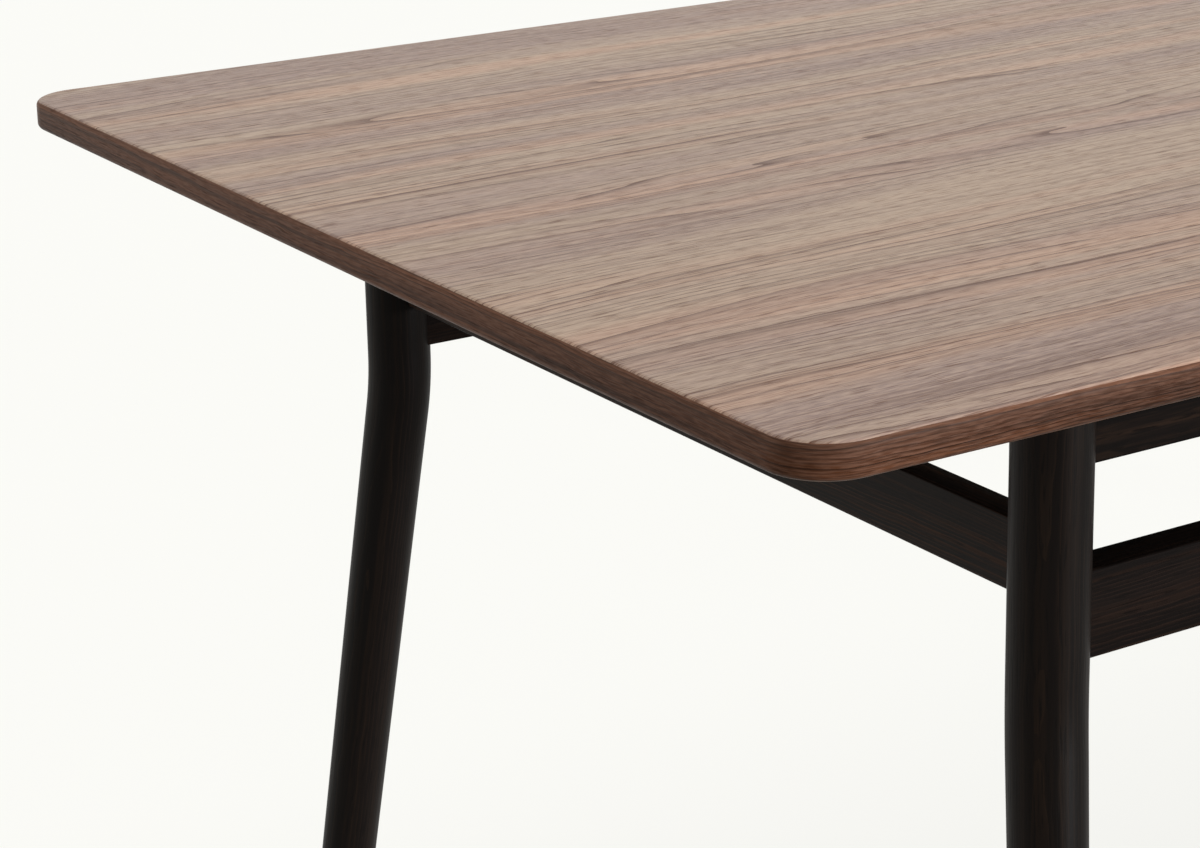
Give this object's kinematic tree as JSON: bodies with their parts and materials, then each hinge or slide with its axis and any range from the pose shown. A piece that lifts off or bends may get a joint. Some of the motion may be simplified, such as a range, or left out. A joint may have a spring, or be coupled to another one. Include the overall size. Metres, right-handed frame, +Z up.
{
  "type": "dining table",
  "caption": "Dining table with a rounded, veneered and lipped top on round tapered legs that bend outwards below two tiers of rails",
  "frame": {"origin": "on the floor, under the middle of the table", "axes": "+X along the table's length, +Y across it, +Z up; metres"},
  "size_m": [2, 0.95, 0.75],
  "materials": {
    "walnut_face": "satin lacquered walnut veneer",
    "walnut_lipping": "satin lacquered solid walnut",
    "walnut_back": "lacquered balancing veneer",
    "core_board": "raw board core",
    "stained_wood": "black-brown stained open-grain wood, satin",
    "bearer_wood": "black-brown stained softwood",
    "screw_steel": "zinc plated",
    "glide_plastic": "moulded black"
  },
  "bodies": {
    "root": {"top_face_veneer": "walnut_face", "top_core_board": "core_board", "top_back_veneer": "walnut_back", "edge_lipping_front": "walnut_lipping", "edge_lipping_right": "walnut_lipping", "edge_lipping_back": "walnut_lipping", "edge_lipping_left": "walnut_lipping", "leg_left_front": "stained_wood", "leg_left_back": "stained_wood", "leg_right_front": "stained_wood", "leg_right_back": "stained_wood", "long_apron_front": "stained_wood", "long_apron_back": "stained_wood", "lower_rail_front": "stained_wood", "lower_rail_back": "stained_wood", "end_rail_left": "stained_wood", "end_rail_right": "stained_wood", "bearer_left": "bearer_wood", "bearer_middle": "bearer_wood", "bearer_right": "bearer_wood", "bearer_screws": "screw_steel", "foot_glides": "glide_plastic"}
  },
  "joints": []
}
